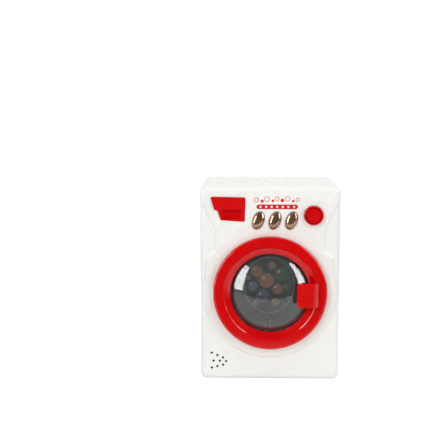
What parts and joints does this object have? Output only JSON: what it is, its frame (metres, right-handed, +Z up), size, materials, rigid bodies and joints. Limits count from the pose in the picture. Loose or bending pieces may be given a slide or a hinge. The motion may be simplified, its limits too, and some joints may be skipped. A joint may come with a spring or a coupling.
{
  "type": "toy washing machine",
  "caption": "Toy front-loading washing machine with a hinged porthole door, a turning drum, a sliding detergent drawer and push buttons.",
  "frame": {"origin": "middle of the cabinet's footprint, on the surface that it stands on", "axes": "+Z up, the front with the door faces -Y, +X to the right seen from the front"},
  "size_m": [0.142, 0.132, 0.2],
  "materials": {
    "black_plastic": "matte",
    "board_green": "solder mask",
    "bronze_bush": "sintered",
    "bronze_gloss": "metallised",
    "clear_dome": "clear",
    "drum_grey": "glossy",
    "gear_white": "matte",
    "grey_liner": "matte",
    "printed_plate": "printed",
    "red_gloss": "glossy",
    "steel": "plated",
    "tray_white": "matte",
    "tub_grey": "matte",
    "white_shell": "satin"
  },
  "bodies": {
    "cabinet": {"battery_cells": "black_plastic", "battery_contacts": "steel", "battery_cover": "white_shell", "board_screws": "steel", "button_carrier": "grey_liner", "case_screws": "steel", "catch_leaf": "steel", "circuit_board": "board_green", "cover_screw": "steel", "drawer_guide": "grey_liner", "drum_bush": "bronze_bush", "front_shell": "white_shell", "idler_axle": "steel", "motor": "steel", "motor_plate": "steel", "motor_sleeve": "grey_liner", "oval_spring_a": "steel", "oval_spring_b": "steel", "oval_spring_c": "steel", "plate_screws": "steel", "power_switch": "grey_liner", "rear_shell": "white_shell", "sleeve_screws": "steel", "speaker": "steel", "speaker_clamp": "grey_liner", "speaker_screws": "steel", "start_spring": "steel", "tact_switches": "black_plastic", "tub": "tub_grey", "tub_screws": "steel"},
    "door": {"door_ring": "red_gloss", "door_liner": "grey_liner", "door_dome": "clear_dome", "door_handle": "red_gloss", "door_screws": "steel", "hinge_pin": "steel"},
    "drum": {"drum": "drum_grey", "picture_plate": "printed_plate", "drum_axle": "steel", "drum_gear": "gear_white", "axle_clip": "steel"},
    "idler": {"idler_gear": "gear_white"},
    "motor_rotor": {"motor_shaft": "steel", "motor_pinion": "gear_white"},
    "drawer": {"drawer_front": "red_gloss", "drawer_tray": "tray_white"},
    "oval_button_a": {"oval_button_a": "bronze_gloss"},
    "oval_button_b": {"oval_button_b": "bronze_gloss"},
    "oval_button_c": {"oval_button_c": "bronze_gloss"},
    "start_button": {"start_button": "red_gloss"},
    "power_slider": {"power_slider": "black_plastic"}
  },
  "joints": [
    {"name": "door_hinge", "type": "hinge", "parent": "cabinet", "child": "door", "pos_m": [-0.0544, -0.0608, 0.092], "axis": [0, 0, -1], "range_deg": [0, 100]},
    {"name": "drum_spin", "type": "hinge", "parent": "cabinet", "child": "drum", "pos_m": [0, -0.02, 0.092], "axis": [0, 1, 0], "continuous": true},
    {"name": "idler_spin", "type": "hinge", "parent": "cabinet", "child": "idler", "pos_m": [0.01254, 0, 0.11372], "axis": [0, 1, 0], "continuous": true},
    {"name": "motor_spin", "type": "hinge", "parent": "cabinet", "child": "motor_rotor", "pos_m": [0.01254, 0, 0.1338], "axis": [0, 1, 0], "continuous": true},
    {"name": "drawer_slide", "type": "slide", "parent": "cabinet", "child": "drawer", "axis": [0, -1, 0], "range_m": [0, 0.028]},
    {"name": "oval_button_a_press", "type": "slide", "parent": "cabinet", "child": "oval_button_a", "axis": [0, 1, 0], "range_m": [0, 0.0015], "stiffness_N_per_m": 400, "springref_m": -0.001, "deforming": ["oval_spring_a"]},
    {"name": "oval_button_b_press", "type": "slide", "parent": "cabinet", "child": "oval_button_b", "axis": [0, 1, 0], "range_m": [0, 0.0015], "stiffness_N_per_m": 400, "springref_m": -0.001, "deforming": ["oval_spring_b"]},
    {"name": "oval_button_c_press", "type": "slide", "parent": "cabinet", "child": "oval_button_c", "axis": [0, 1, 0], "range_m": [0, 0.0015], "stiffness_N_per_m": 400, "springref_m": -0.001, "deforming": ["oval_spring_c"]},
    {"name": "start_button_press", "type": "slide", "parent": "cabinet", "child": "start_button", "axis": [0, 1, 0], "range_m": [0, 0.0015], "stiffness_N_per_m": 400, "springref_m": -0.001, "deforming": ["start_spring"]},
    {"name": "power_slide", "type": "slide", "parent": "cabinet", "child": "power_slider", "axis": [1, 0, 0], "range_m": [0, 0.004]}
  ],
  "couplings": [
    {"joint": "idler_spin", "follows": "drum_spin", "ratio": -4},
    {"joint": "motor_spin", "follows": "drum_spin", "ratio": 12}
  ]
}
